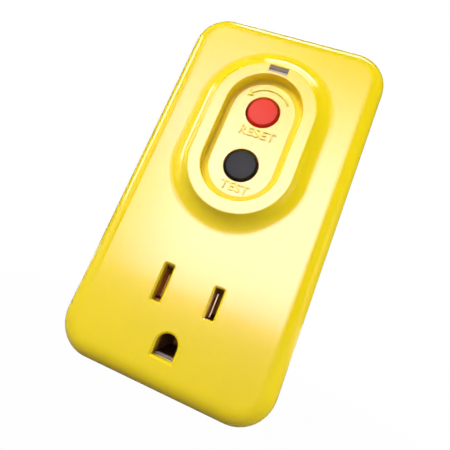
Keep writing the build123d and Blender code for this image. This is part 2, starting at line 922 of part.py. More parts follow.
def latch_spring():
    """The small spring that lifts the latch plate."""
    bottom_z = latch_bottom_z - latch_spring_length
    return sleeve(latch_spring_radius, latch_spring_wire, 0, latch_y, bottom_z, latch_bottom_z)


def contact_bridges():
    """One moving bridge for each pole."""
    half = bridge_height / 2
    return [
        block(
            side * bridge_x - bridge_half, side * bridge_x + bridge_half,
            bridge_front_y, carrier_front_y, reset_z - half, reset_z + half,
        )
        for side in (-1, 1)
    ]


def silver_contacts(y0, y1):
    """A round silver contact at each end of both bridges."""
    xs = (-load_contact_x, -line_contact_x, line_contact_x, load_contact_x)
    return [rod(silver_radius, x, reset_z, y0, y1) for x in xs]


def carrier_springs():
    """The springs that press the bridges closed."""
    return [
        tube(
            carrier_spring_radius, carrier_spring_wire, side * bridge_x, reset_z,
            carrier_back_y, board_front_y,
        )
        for side in (-1, 1)
    ]


def solenoid_bobbin():
    """The bobbin that guides the plunger."""
    bobbin = post(bobbin_tube_radius, 0, latch_y, bobbin_bottom_z, bobbin_top_z)
    for z0 in (bobbin_bottom_z, bobbin_top_z - bobbin_flange):
        bobbin += post(bobbin_flange_radius, 0, latch_y, z0, z0 + bobbin_flange)
    return bobbin - post(bobbin_bore_radius, 0, latch_y, bobbin_bottom_z, bobbin_top_z)


def solenoid_winding():
    """The copper coil between the bobbin's flanges."""
    low_z = bobbin_bottom_z + bobbin_flange + winding_gap
    high_z = bobbin_top_z - bobbin_flange - winding_gap
    wall = coil_radius - bobbin_tube_radius - winding_gap
    return sleeve(coil_radius, wall, 0, latch_y, low_z, high_z)


def solenoid_frame():
    """The steel bracket round the solenoid, fixed to the board."""
    half = solenoid_half_width
    front = latch_y - half
    back = board_front_y - solenoid_plate
    frame = block(-half, half, back, board_front_y, solenoid_bottom_z, solenoid_top_z)
    frame += block(-half, half, front, board_front_y, solenoid_bottom_z, bobbin_bottom_z)
    frame += block(-half, half, front, board_front_y, bobbin_top_z, solenoid_top_z)
    hole = plunger_rod_radius + running_gap
    return frame - post(hole, 0, latch_y, solenoid_bottom_z, bobbin_bottom_z)


def solenoid_plunger():
    """The plunger with the rod that strikes the latch plate."""
    body_z = bobbin_bottom_z + plunger_spring_length
    plunger = post(plunger_radius, 0, latch_y, body_z, body_z + plunger_body_length)
    return plunger + post(plunger_rod_radius, 0, latch_y, latch_top_z + plunger_gap, body_z)


def plunger_spring():
    """The spring that lifts the plunger back."""
    top_z = bobbin_bottom_z + plunger_spring_length
    return sleeve(plunger_spring_radius, plunger_spring_wire, 0, latch_y, bobbin_bottom_z, top_z)


def test_leaf():
    """The bent leaf that the test button's stem presses."""
    half = test_leaf_half_width
    low_z = test_z - test_leaf_below
    high_z = test_z + test_leaf_above
    thick = test_leaf_thickness
    back_y = test_leaf_front_y + thick
    riser = block(-half, half, test_leaf_front_y, board_front_y, low_z, low_z + thick)
    strip = block(-half, half, test_leaf_front_y, back_y, low_z, high_z)
    foot = block(-half, half, board_front_y - thick, board_front_y, low_z, low_z + test_foot)
    return riser + strip + foot


def test_contact_post():
    """The fixed post that the leaf meets when the button is pressed."""
    z = test_z + test_post_offset
    push = test_travel - test_stem_end_gap
    height = test_leaf_room - push - test_post_gap
    return rod(test_post_radius, 0, z, board_front_y, board_front_y - height)


def indicator_lens():
    """The clear light guide that fills the window in the collar."""
    half_x = window_width / 2 - lens_gap
    half_z = window_height / 2 - lens_gap
    top_y = front_y - collar_height + lens_sink
    flange_y = wall_inner_y + lens_flange
    lens = block(-half_x, half_x, top_y, flange_y, window_z - half_z, window_z + half_z)
    grow = lens_flange_overlap
    return lens + block(
        -half_x - grow, half_x + grow, wall_inner_y, flange_y,
        window_z - half_z - grow, window_z + half_z + grow,
    )


def indicator_board():
    """The small board that carries the indicator."""
    half_x = indicator_board_width / 2
    half_z = indicator_board_height / 2
    return block(
        -half_x, half_x, indicator_front_y, indicator_back_y, window_z - half_z, window_z + half_z
    )


def indicator_led():
    """The light-emitting diode behind the light guide."""
    led = rod(led_radius, 0, window_z, indicator_front_y - led_length, indicator_front_y)
    return fillet(edges_at(led, indicator_front_y - led_length), led_radius / 2)


def indicator_pins():
    """The two pins that link the indicator board to the main board."""
    return [
        rod(link_pin_radius, x, window_z, indicator_back_y, board_back_y)
        for x in (-link_pin_x, link_pin_x)
    ]


def axial_part(radius, length, x, z):
    """A small round part that lies on the board's rear with bent leads."""
    y = board_back_y + part_lift + radius
    lie = Rot(0, right_angle, 0)
    body = Pos(x, y, z) * (lie * Cylinder(radius, length))
    reach = length / 2 + lead_length
    body += Pos(x, y, z) * (lie * Cylinder(lead_radius, 2 * reach))
    for end in (x - reach, x + reach):
        body += rod(lead_radius, end, z, board_back_y, y)
        body += Pos(end, y, z) * Sphere(lead_radius)
    return body


def rear_box(width, height, depth, x, z):
    """A box-shaped part on the board's rear."""
    return block(
        x - width / 2, x + width / 2, board_back_y, board_back_y + depth, z - height / 2, z + height / 2
    )


def control_chip():
    """The control chip with its bent pins."""
    front_y = board_back_y + chip_lift
    chip = block(
        -chip_width / 2, chip_width / 2, front_y, front_y + chip_depth,
        chip_z - chip_height / 2, chip_z + chip_height / 2,
    )
    tall = chip_lift + chip_depth / 2
    first = chip_z - (chip_pins_per_side - 1) * chip_pin_pitch / 2
    for side in (-1, 1):
        edge = side * chip_width / 2
        tip = edge + side * chip_pin_length
        for index in range(chip_pins_per_side):
            z = first + index * chip_pin_pitch
            z0, z1 = z - chip_pin_width / 2, z + chip_pin_width / 2
            shelf_y = board_back_y + tall
            chip += block(edge, tip, shelf_y - chip_pin_thickness, shelf_y, z0, z1)
            chip += block(tip - side * chip_pin_thickness, tip, board_back_y, shelf_y, z0, z1)
    return chip


def row_of(count, pitch, low_z, make):
    """Copies of a part, one above the other."""
    return [make(low_z + index * pitch) for index in range(count)]


nodes = {
    "front_cover": front_cover(),
    "rear_cover": rear_cover(),
    "cover_screws": cover_screws(),
    "blade_carrier": blade_block(),
    "line_blade": blade(1, line_blade_width),
    "neutral_blade": blade(-1, neutral_blade_width),
    "ground_pin": ground_pin(),
    "line_bus": bus(1),
    "neutral_bus": bus(-1),
    "line_load_bar": load_bar(1),
    "neutral_load_bar": load_bar(-1),
    "outlet_housing": outlet_housing(),
    "line_contact": outlet_contact(1),
    "neutral_contact": outlet_contact(-1),
    "ground_contact": ground_contact(),
    "contact_retainer": contact_retainer(),
    "main_board": main_board(),
    "board_screws": board_screws(),
    "transformer_case": transformer_case(),
    "sense_core": ring_core(0),
    "sense_winding": ring_winding(0),
    "neutral_core": ring_core(1),
    "neutral_winding": ring_winding(1),
    "reset_button": reset_button(),
    "reset_pin": reset_pin(),
    "reset_spring": button_spring(reset_z),
    "test_button": test_button(),
    "test_spring": button_spring(test_z),
    "mechanism_guide": mechanism_guide(),
    "latch_plate": latch_plate(),
    "latch_spring": latch_spring(),
    "contact_carrier": contact_carrier(),
    "contact_bridges": contact_bridges(),
    "bridge_contacts": silver_contacts(bridge_contact_front_y, bridge_front_y),
    "fixed_contacts": silver_contacts(load_back_y, fixed_contact_back_y),
    "carrier_springs": carrier_springs(),
    "solenoid_bobbin": solenoid_bobbin(),
    "solenoid_winding": solenoid_winding(),
    "solenoid_frame": solenoid_frame(),
    "solenoid_plunger": solenoid_plunger(),
    "plunger_spring": plunger_spring(),
    "test_leaf": test_leaf(),
    "test_contact_post": test_contact_post(),
    "indicator_lens": indicator_lens(),
    "indicator_board": indicator_board(),
    "indicator_led": indicator_led(),
    "indicator_pins": indicator_pins(),
    "control_chip": control_chip(),
    "thyristor": rear_box(thyristor_size, thyristor_size, thyristor_depth, part_column_x, thyristor_z),
    "varistor": rod(
        varistor_radius, -part_column_x, varistor_z, board_back_y, board_back_y + varistor_depth
    ),
    "filter_capacitor": rear_box(
        capacitor_width, capacitor_height, capacitor_depth, part_column_x, capacitor_z
    ),
    "rectifier_diodes": row_of(
        diode_count, diode_pitch, diode_low_z,
        lambda z: axial_part(diode_radius, diode_length, -part_column_x, z),
    ),
    "board_resistors": row_of(
        resistor_count, resistor_pitch, resistor_low_z,
        lambda z: axial_part(resistor_radius, resistor_length, part_column_x, z),
    ),
    "test_resistor": axial_part(test_resistor_radius, test_resistor_length, 0, window_z),
}

for name, shape in nodes.items():
    if isinstance(shape, list):
        shape = Compound(children=[s for part in shape for s in part.solids()])
    export_step(shape, f"parts/{name}.step")
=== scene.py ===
import math

import bmesh
import bpy
from mathutils import Matrix, Vector


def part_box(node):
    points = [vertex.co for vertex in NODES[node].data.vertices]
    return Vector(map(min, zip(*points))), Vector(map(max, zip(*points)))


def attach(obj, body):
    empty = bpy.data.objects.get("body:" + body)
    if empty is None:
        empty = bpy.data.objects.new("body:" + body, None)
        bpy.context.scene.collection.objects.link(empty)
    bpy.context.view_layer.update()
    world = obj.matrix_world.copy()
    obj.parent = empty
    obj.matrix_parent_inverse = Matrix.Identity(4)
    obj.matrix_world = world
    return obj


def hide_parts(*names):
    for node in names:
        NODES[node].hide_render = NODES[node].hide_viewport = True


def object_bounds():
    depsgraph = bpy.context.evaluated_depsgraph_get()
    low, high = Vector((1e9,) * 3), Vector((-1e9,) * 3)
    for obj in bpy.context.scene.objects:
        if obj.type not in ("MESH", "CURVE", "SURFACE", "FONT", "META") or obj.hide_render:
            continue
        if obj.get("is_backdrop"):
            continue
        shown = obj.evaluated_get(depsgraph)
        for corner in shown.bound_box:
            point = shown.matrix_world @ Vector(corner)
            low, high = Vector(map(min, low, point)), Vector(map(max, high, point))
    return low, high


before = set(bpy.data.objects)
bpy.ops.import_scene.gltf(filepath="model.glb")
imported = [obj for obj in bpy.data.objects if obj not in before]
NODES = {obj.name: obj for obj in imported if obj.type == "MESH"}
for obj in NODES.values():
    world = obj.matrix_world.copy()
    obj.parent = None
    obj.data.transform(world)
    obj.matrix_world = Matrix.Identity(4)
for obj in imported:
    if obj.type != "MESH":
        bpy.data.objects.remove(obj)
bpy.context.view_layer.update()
MM = 0.001

# Places on the case, read from the CAD nodes
CASE_LOW, CASE_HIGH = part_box("front_cover")
RESET_LOW, RESET_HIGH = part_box("reset_button")
RESET_Z = (RESET_LOW.z + RESET_HIGH.z) / 2
COLLAR_HEIGHT = 2.6 * MM
PAD_RISE = 0.5 * MM
FACE_Y = CASE_LOW.y + COLLAR_HEIGHT
PAD_Y = FACE_Y - PAD_RISE

# The dark hairline where the halves of the case meet
SEAM_WIDTH = 0.2 * MM
SEAM_SHADE = 0.3

# The groove round the pad, where the skin is duller
GROOVE_X = (-9.5 * MM, 9.5 * MM)
GROOVE_Z = (20.0 * MM, 60.0 * MM)
GROOVE_Y = PAD_Y + 0.3 * MM
GROOVE_SOFT = 0.3 * MM
GROOVE_DULL = 0.8

# Buttons, as in the solids
BUTTON_RADIUS = 3.87 * MM
BUTTON_DOME = 0.4 * MM
BUTTON_EDGE = 1.15 * MM
DOME_STEPS = 10
EDGE_STEPS = 6
FLANGE_FRONT = 2.7 * MM
FLANGE_DEPTH = 1.0 * MM
RESET_STEM = 1.9 * MM
TEST_STEM = 1.6 * MM
LATHE_STEPS = 96
CRISP_ANGLE = math.radians(40)

# Raised words and the arrow on the pad; the word shares are of the type size
WORD_RELIEF = 0.27 * MM
WORD_SPACING = 1.12
WORD_EXTRUDE_SHARE = 0.01
WORD_ROUND_SHARE = 0.035
WORD_CURVE_STEPS = 4
WORD_ROUND_STEPS = 2
RESET_WORD = Vector((0.7, 0, 41.15)) * MM
RESET_WORD_WIDTH = 9.0 * MM
TEST_WORD = Vector((0.55, 0, 26.5)) * MM
TEST_WORD_WIDTH = 7.0 * MM
STROKE_STEPS = 3
ARROW_RADIUS = 6.3 * MM
ARROW_STROKE = 0.6 * MM
ARROW_HEAD = 1.1 * MM
ARROW_SPREAD = 0.7
ARROW_START = math.radians(35)
ARROW_END = math.radians(145)
ARROW_STEPS = 24
MARK_X = 0.2 * MM
MARK_SPAN = (37.3 * MM, 38.9 * MM)
MARK_STROKE = 0.16 * MM

# Inside the outlet openings
CREASE_X = 0.62 * MM
CREASE_Y = 1.6 * MM
CREASE_INSET = 0.1 * MM
CREASE_TOP_INSET = 1.2 * MM
CREASE_RADIUS = 0.16 * MM
CREASE_FLAT = 0.2
RIB_COUNT = 9
RIB_HALF_WIDTH = 2.3 * MM
RIB_LOW = -14.78 * MM
RIB_HIGH = -14.5 * MM
RIB_FRONT = -30.2 * MM
RIB_BACK = -28.4 * MM
RIB_SLANT = 0.3 * MM
RIB_THICKNESS = 0.03 * MM

# Noises, each with its waves per metre, detail and roughness
DRIFT_NOISE = (55.0, 2.0, 0.5)
GLOSS_NOISE = (240.0, 4.0, 0.6)
SKIN_NOISE = (2600.0, 3.0, 0.6)
CLOUD_NOISE = (160.0, 5.0, 0.6)
DRAWN_NOISE = (900.0, 3.0, 0.7)
FROST_NOISE = (1400.0, 4.0, 0.6)
WEAVE_NOISE = (1500.0, 2.0, 0.4)
PAPER_NOISE = (3.0, 2.0, 0.5)

# Depth of each surface's fine relief
SKIN_GRAIN = 0.02 * MM
SMOOTH_GRAIN = 0.005 * MM
METAL_GRAIN = 0.01 * MM
FROST_GRAIN = 0.008 * MM
WEAVE_GRAIN = 0.02 * MM

# Plastic
DRIFT_STOPS = (0.3, 0.7)
GLOSS_SWING = 0.08
COAT_ROUGHNESS = 0.08
UNDER_RADIUS = (1.0, 0.6, 0.15)
UNDER_SCALE = 1.2 * MM

# Metal
TARNISH = 0.12
TARNISH_STOPS = (0.25, 0.75)
METAL_ROUGH_SHARES = (0.7, 1.4)

# Indicator window
FROST_SWING = 0.03
WINDOW_ROUGH = 0.15
WINDOW_CLEAR = 0.15
ACRYLIC_IOR = 1.49

# Circuit board
WEAVE_STRETCH = (1, 1, 4)
WEAVE_STOPS = (0.35, 0.65)
WEAVE_SWING = 0.2
BOARD_ROUGH = 0.35

# Camera
CAMERA_PLACE = Vector((14.58, -106.97, 3.32)) * MM
CAMERA_RIGHT = Vector((0.92320, 0.08776, 0.37416))
CAMERA_UP = Vector((-0.34639, -0.23175, 0.90902))
CAMERA_LENS = 26.53
SENSOR_WIDTH = 36.0
CLIP_START = 0.005

# Floor and surround
WHITE = (1, 1, 1)
FLOOR_HALF = 3.0
FLOOR_CELLS = 8
FLOOR_STOPS = (0.3, 0.7)
FLOOR_TONES = (0.2, 0.23)
FLOOR_ROUGH = 0.8
FADE_START = 0.05
FADE_END = 0.16
FLOOR_GLOW = 0.985
AMBIENT = 0.06
WORLD_EDGE = (0.7, 1.0)
FLOOR_EDGE = (0.0, 0.15)

# Lamps: name, place in millimetres, size in metres, power in watts and options
AIM = Vector((0, -30, 25)) * MM
PANEL_TINT = (1.0, 0.85, 0.98)
PANEL_FADES = {"X": (0.386, 0.263), "Y": (0.29, 0.5)}
SIDE_FADES = {"X": (0.4, 0.4), "Y": (0.3, 0.4)}
FRONT_OPTIONS = {"mirrored": True, "tint": PANEL_TINT, "fades": PANEL_FADES}
LAMPS = [
    ("key", (-200, -380, 290), (0.25, 0.25), 2.5, {}),
    ("front_panel", (-35, -440, 155), (0.57, 0.54), 11.7, FRONT_OPTIONS),
    ("top_strip", (-10, -80, 520), (0.3, 0.03), 0.7, {"mirrored": True}),
    ("left_strip", (-560, -120, 260), (0.05, 0.35), 1.0, {"mirrored": True}),
    ("right", (460, -20, 50), (0.3, 0.3), 2.6, {}),
    ("left_panel", (-440, -215, 40), (0.5, 0.6), 1.0, {"mirrored": True, "fades": SIDE_FADES}),
    ("back", (-250, 440, 160), (0.4, 0.3), 2.5, {}),
    ("back_panel", (-250, 440, 160), (0.4, 0.3), 1.1, {"mirrored": True}),
]


def material(name):
    """A new node material, its tree and its shader."""
    mat = bpy.data.materials.new(name)
    mat.use_nodes = True
    tree = mat.node_tree
    return mat, tree, tree.nodes["Principled BSDF"]


def noise(tree, scale, detail, roughness, stretch=None):
    """Noise over the object's own coordinates, in waves per metre."""
    coords = tree.nodes.new("ShaderNodeTexCoord")
    source = coords.outputs["Object"]
    if stretch:
        mapping = tree.nodes.new("ShaderNodeMapping")
        mapping.inputs["Scale"].default_value = stretch
        tree.links.new(source, mapping.inputs["Vector"])
        source = mapping.outputs["Vector"]
    texture = tree.nodes.new("ShaderNodeTexNoise")
    texture.inputs["Scale"].default_value = scale
    texture.inputs["Detail"].default_value = detail
    texture.inputs["Roughness"].default_value = roughness
    tree.links.new(source, texture.inputs["Vector"])
    return texture.outputs["Fac"]


def axes(tree, coordinates="Object"):
    """The X, Y and Z of each point, in the object's own coordinates unless named."""
    coords = tree.nodes.new("ShaderNodeTexCoord")
    place = tree.nodes.new("ShaderNodeSeparateXYZ")
    tree.links.new(coords.outputs[coordinates], place.inputs[0])
    return place.outputs


def ramp(tree, source, stops):
    """A colour ramp with (place, colour) stops."""
    node = tree.nodes.new("ShaderNodeValToRGB")
    elements = node.color_ramp.elements
    while len(elements) < len(stops):
        elements.new(0.5)
    for element, (place, colour) in zip(elements, stops):
        element.position = place
        element.color = (*colour, 1.0)
    tree.links.new(source, node.inputs["Fac"])
    return node.outputs["Color"]


def spread(tree, source, low, high):
    """Maps a 0 to 1 signal to a range."""
    node = tree.nodes.new("ShaderNodeMapRange")
    node.inputs["To Min"].default_value = low
    node.inputs["To Max"].default_value = high
    tree.links.new(source, node.inputs["Value"])
    return node.outputs["Result"]


def step(tree, source, start, end, low=0.0, high=1.0):
    """A smooth step from one level to another while a value goes from start to end."""
    node = tree.nodes.new("ShaderNodeMapRange")
    node.interpolation_type = "SMOOTHSTEP"
    for name, value in zip(("From Min", "From Max", "To Min", "To Max"), (start, end, low, high)):
        node.inputs[name].default_value = value
    tree.links.new(source, node.inputs["Value"])
    return node.outputs["Result"]


def combine(tree, operation, first, second):
    """One math step on two signals."""
    node = tree.nodes.new("ShaderNodeMath")
    node.operation = operation
    tree.links.new(first, node.inputs[0])
    tree.links.new(second, node.inputs[1])
    return node.outputs["Value"]


def product(tree, signals):
    """Several signals multiplied together."""
    total = signals[0]
    for signal in signals[1:]:
        total = combine(tree, "MULTIPLY", total, signal)
    return total


def bump(tree, shader, source, distance):
    """Fine relief on the shader's normal."""
    node = tree.nodes.new("ShaderNodeBump")
    node.inputs["Strength"].default_value = 1.0
    node.inputs["Distance"].default_value = distance
    tree.links.new(source, node.inputs["Height"])
    tree.links.new(node.outputs["Normal"], shader.inputs["Normal"])


def linear(red, green, blue):
    """The linear value of an sRGB colour given in 0 to 255."""
    return tuple(
        c / 12.92 if c <= 0.04045 else ((c + 0.055) / 1.055) ** 2.4
        for c in (red / 255, green / 255, blue / 255)
    )


def shade(colour, factor):
    """A lighter or darker copy of a linear colour."""
    return tuple(min(1.0, c * factor) for c in colour)


def drifting(tree, source, places, colour, darker, lighter):
    """A colour that drifts from a darker to a lighter copy of itself."""
    tones = (shade(colour, 1 - darker), shade(colour, 1 + lighter))
    return ramp(tree, source, list(zip(places, tones)))


def parting_line(tree, base, dark, seam):
    """Darkens a hairline where the two halves of the case meet."""
    depth = axes(tree)["Y"]
    rise = step(tree, depth, seam - SEAM_WIDTH, seam)
    fall = step(tree, depth, seam, seam + SEAM_WIDTH, 1.0, 0.0)
    mix = tree.nodes.new("ShaderNodeMix")
    mix.data_type = "RGBA"
    tree.links.new(combine(tree, "MULTIPLY", rise, fall), mix.inputs["Factor"])
    tree.links.new(base, mix.inputs["A"])
    mix.inputs["B"].default_value = (*dark, 1.0)
    return next(socket for socket in mix.outputs if socket.type == "RGBA")


def groove(tree):
    """One in the groove round the pad and zero elsewhere on the case."""
    place = axes(tree)
    parts = [step(tree, place["Y"], GROOVE_Y - GROOVE_SOFT, GROOVE_Y)]
    for axis, (low, high) in {"X": GROOVE_X, "Z": GROOVE_Z}.items():
        parts.append(step(tree, place[axis], low - GROOVE_SOFT, low))
        parts.append(step(tree, place[axis], high, high + GROOVE_SOFT, 1.0, 0.0))
    return product(tree, parts)


def dull_groove(tree, shader, coat):
    """Less gloss in the groove round the pad than on the open faces."""
    inside = groove(tree)
    tree.links.new(spread(tree, inside, coat, 0.0), shader.inputs["Coat Weight"])
    gloss = shader.inputs["Roughness"].links[0].from_socket
    worn = spread(tree, inside, 0.0, GROOVE_DULL)
    tree.links.new(combine(tree, "ADD", gloss, worn), shader.inputs["Roughness"])


def moulded(
    name, colour, rough=0.28, grain=SKIN_GRAIN, vary=0.05, under=0.0, shine=0.5, coat=0.0,
    mirror=WHITE, seam=None,
):
    """Moulded plastic: slight colour drift, uneven gloss and a fine skin."""
    mat, tree, shader = material(name)
    base = drifting(tree, noise(tree, *DRIFT_NOISE), DRIFT_STOPS, colour, vary, vary)
    if seam is not None:
        base = parting_line(tree, base, shade(colour, SEAM_SHADE), seam)
    tree.links.new(base, shader.inputs["Base Color"])
    limits = (rough * (1 - GLOSS_SWING), rough * (1 + GLOSS_SWING))
    gloss = spread(tree, noise(tree, *GLOSS_NOISE), *limits)
    tree.links.new(gloss, shader.inputs["Roughness"])
    bump(tree, shader, noise(tree, *SKIN_NOISE), grain)
    shader.inputs["Specular IOR Level"].default_value = shine
    shader.inputs["Specular Tint"].default_value = (*mirror, 1.0)
    shader.inputs["Coat Weight"].default_value = coat
    shader.inputs["Coat Roughness"].default_value = COAT_ROUGHNESS
    if seam is not None:
        dull_groove(tree, shader, coat)
    shader.inputs["Subsurface Weight"].default_value = under
    shader.inputs["Subsurface Radius"].default_value = UNDER_RADIUS
    shader.inputs["Subsurface Scale"].default_value = UNDER_SCALE
    return mat


def metal(name, colour, rough=0.25, stretch=(1, 1, 1), pure=1.0):
    """Drawn or plated metal with a slight grain and tarnish."""
    mat, tree, shader = material(name)
    cloud = noise(tree, *CLOUD_NOISE)
    base = drifting(tree, cloud, TARNISH_STOPS, colour, TARNISH, TARNISH / 2)
    tree.links.new(base, shader.inputs["Base Color"])
    shader.inputs["Metallic"].default_value = pure
    lines = noise(tree, *DRAWN_NOISE, stretch)
    limits = [rough * share for share in METAL_ROUGH_SHARES]
    tree.links.new(spread(tree, lines, *limits), shader.inputs["Roughness"])
    bump(tree, shader, lines, METAL_GRAIN)
    return mat


def window(name):
    """The indicator window: smoky above, a thin dark line, and below it a pale band that is painted
    light, the window's lower edge as lit from above.
    """
    mat, tree, shader = material(name)
    low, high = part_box("indicator_lens")
    height = step(tree, axes(tree)["Z"], low.z, high.z)
    frost = noise(tree, *FROST_NOISE)
    mixed = combine(tree, "ADD", height, spread(tree, frost, -FROST_SWING, FROST_SWING))
    # The pale band colour is painted light: the lower edge of the window as lit from above.
    smoke, light, line = linear(108, 90, 40), linear(190, 176, 140), linear(40, 30, 22)
    base = ramp(tree, mixed, [
        (0.04, line), (0.1, light), (0.36, light), (0.39, line), (0.5, line),
        (0.55, shade(smoke, 0.9)), (0.97, shade(smoke, 1.25)),
    ])
    tree.links.new(base, shader.inputs["Base Color"])
    shader.inputs["Roughness"].default_value = WINDOW_ROUGH
    shader.inputs["Transmission Weight"].default_value = WINDOW_CLEAR
    shader.inputs["IOR"].default_value = ACRYLIC_IOR
    bump(tree, shader, frost, FROST_GRAIN)
    return mat


def fibre_board(name, colour):
    """Circuit board: woven glass under a green mask."""
    mat, tree, shader = material(name)
    weave = noise(tree, *WEAVE_NOISE, WEAVE_STRETCH)
    base = drifting(tree, weave, WEAVE_STOPS, colour, WEAVE_SWING, WEAVE_SWING)
    tree.links.new(base, shader.inputs["Base Color"])
    shader.inputs["Roughness"].default_value = BOARD_ROUGH
    bump(tree, shader, weave, WEAVE_GRAIN)
    return mat


# The case's colour, the tint of what it mirrors, and every material
YELLOW = linear(248, 221, 16)
CASE_MIRROR = (1.0, 0.5, 1.0)
MATERIALS = {
    "case": moulded(
        "case_plastic", YELLOW, grain=SMOOTH_GRAIN, rough=0.18, vary=0.02, under=0.04, shine=0.45,
        coat=0.35, mirror=CASE_MIRROR, seam=CASE_HIGH.y,
    ),
    # A greener copy of the case yellow for the raised words, arrow and tick: painted shade, so that
    # their shaded flanks turn olive rather than orange.
    "shaded_relief": moulded(
        "case_relief_painted_shade", linear(246, 230, 74), grain=SMOOTH_GRAIN, rough=0.5, vary=0.02, shine=0.4,
    ),
    "red": moulded("reset_plastic", linear(232, 54, 34), shine=0.12, rough=0.5, vary=0.03),
    "black": moulded("test_plastic", linear(36, 38, 39), shine=0.1, rough=0.5, vary=0.06),
    "dark": moulded("housing_plastic", linear(140, 92, 26), rough=0.6, vary=0.08, shine=0.2),
    "pale": moulded("insulator_plastic", linear(214, 206, 186), rough=0.4),
    "clear": window("indicator_window"),
    "brass": metal("brass", linear(214, 172, 92), stretch=(1, 8, 1)),
    "contact": metal("contact_brass", linear(206, 150, 66), rough=0.55, pure=0.55),
    # Darkened brass for the ground contact: painted shade inside the deep ground opening.
    "shaded_brass": metal("brass_painted_shade", linear(140, 92, 42), rough=0.55, pure=0.5),
    # Near-white brass on the line contact's bend: a painted highlight.
    "painted_glint": metal("brass_painted_highlight", linear(252, 236, 196), rough=0.35, pure=0.3),
    "nickel": metal("nickel", linear(238, 230, 230), rough=0.4, pure=0.6),
    "steel": metal("steel", linear(176, 176, 178), rough=0.32),
    "spring": metal("spring_steel", linear(150, 150, 152), rough=0.3),
    "copper": metal("copper_wire", linear(200, 110, 60), rough=0.3, stretch=(1, 1, 12)),
    "silver": metal("silver", linear(222, 222, 222), rough=0.22),
    "ferrite": moulded("ferrite", linear(44, 44, 46), rough=0.7, vary=0.1),
    "board": fibre_board("circuit_board", linear(28, 92, 52)),
    "led": moulded("led_red", linear(200, 30, 28), rough=0.18),
    "blue": moulded("varistor_coat", linear(40, 84, 150), rough=0.35),
    "tan": moulded("component_tan", linear(196, 164, 116), rough=0.45),
}

# The material of each CAD node
DRESSING = {
    "case": ["front_cover", "rear_cover"],
    "red": ["reset_button"],
    "black": ["test_button", "control_chip", "thyristor", "filter_capacitor", "rectifier_diodes"],
    "dark": ["outlet_housing", "contact_retainer"],
    "pale": [
        "blade_carrier", "transformer_case", "mechanism_guide", "contact_carrier",
        "solenoid_bobbin",
    ],
    "clear": ["indicator_lens"],
    "brass": [
        "line_blade", "neutral_blade", "ground_pin", "line_bus", "neutral_bus", "line_load_bar",
        "neutral_load_bar", "contact_bridges", "test_contact_post", "indicator_pins",
    ],
    "contact": ["line_contact", "neutral_contact"],
    # The ground contact takes the darkened brass, painted shade of the opening.
    "shaded_brass": ["ground_contact"],
    "steel": [
        "cover_screws", "board_screws", "latch_plate", "reset_pin", "solenoid_frame",
        "solenoid_plunger",
    ],
    "spring": [
        "reset_spring", "test_spring", "latch_spring", "carrier_springs", "plunger_spring",
        "test_leaf",
    ],
    "copper": ["sense_winding", "neutral_winding", "solenoid_winding"],
    "silver": ["bridge_contacts", "fixed_contacts"],
    "ferrite": ["sense_core", "neutral_core"],
    "board": ["main_board", "indicator_board"],
    "led": ["indicator_led"],
    "blue": ["varistor"],
    "tan": ["board_resistors", "test_resistor"],
}


def dress_nodes():
    """Paints every CAD node."""
    for key, names in DRESSING.items():
        for name in names:
            for entry in NODES[name].material_slots:
                entry.material = MATERIALS[key]


def link(name, data):
    """A new object in the scene."""
    holder = bpy.data.objects.new(name, data)
    bpy.context.scene.collection.objects.link(holder)
    return holder


def add_piece(name, mesh, mat, body):
    """Links a mesh, paints it and lets it ride on a body."""
    piece = link(name, mesh)
    mesh.materials.clear()
    mesh.materials.append(mat)
    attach(piece, body)
    return piece


def curve_mesh(name, curve):
    """The mesh of a curve or a text, made in its place."""
    holder = link(name + "_curve", curve)
    graph = bpy.context.evaluated_depsgraph_get()
    mesh = bpy.data.meshes.new_from_object(holder.evaluated_get(graph))
    bpy.data.objects.remove(holder)
    bpy.data.curves.remove(curve)
    return mesh


def form_mesh(name, form):
    """The mesh of a finished form."""
    mesh = bpy.data.meshes.new(name)
    form.to_mesh(mesh)
    form.free()
    return mesh


def raised_word(name, text, centre, width):
    """A small raised word on the pad, as a mesh of a given width about its centre."""
    curve = bpy.data.curves.new(name, "FONT")
    curve.body = text
    curve.extrude = WORD_EXTRUDE_SHARE
    curve.bevel_depth = WORD_ROUND_SHARE
    curve.bevel_resolution = WORD_ROUND_STEPS
    curve.resolution_u = WORD_CURVE_STEPS
    curve.space_character = WORD_SPACING
    mesh = curve_mesh(name, curve)
    low = Vector([min(v.co[i] for v in mesh.vertices) for i in range(3)])
    high = Vector([max(v.co[i] for v in mesh.vertices) for i in range(3)])
    size = high - low
    scale = width / size.x
    middle = (low + high) / 2
    for vertex in mesh.vertices:
        place = vertex.co - middle
        lift = WORD_RELIEF * (2 * place.z / size.z if place.z > 0 else -1)
        vertex.co = centre + Vector((place.x * scale, PAD_Y - lift, place.y * scale))
    add_piece(name, mesh, MATERIALS["shaded_relief"], "case")


def words():
    """The words below the two buttons."""
    raised_word("reset_word", "RESET", RESET_WORD, RESET_WORD_WIDTH)
    raised_word("test_word", "TEST", TEST_WORD, TEST_WORD_WIDTH)


def arc_point(radius, angle):
    """A point on the pad at a distance and angle round the reset button's axis."""
    return Vector((radius * math.cos(angle), PAD_Y, RESET_Z + radius * math.sin(angle)))


def rounded_strokes(name, strokes, radius, mat="shaded_relief", flat=1.0):
    """Rounded lines through lists of points, squeezed along Y by a share."""
    curve = bpy.data.curves.new(name, "CURVE")
    curve.dimensions = "3D"
    curve.bevel_depth = radius
    curve.bevel_resolution = STROKE_STEPS
    curve.use_fill_caps = True
    for points in strokes:
        line = curve.splines.new("POLY")
        line.points.add(len(points) - 1)
        for target, point in zip(line.points, points):
            target.co = (*point, 1)
    mesh = curve_mesh(name, curve)
    depth = strokes[0][0].y
    for vertex in mesh.vertices:
        vertex.co.y = depth + (vertex.co.y - depth) * flat
    for face in mesh.polygons:
        face.use_smooth = True
    add_piece(name, mesh, MATERIALS[mat], "case")


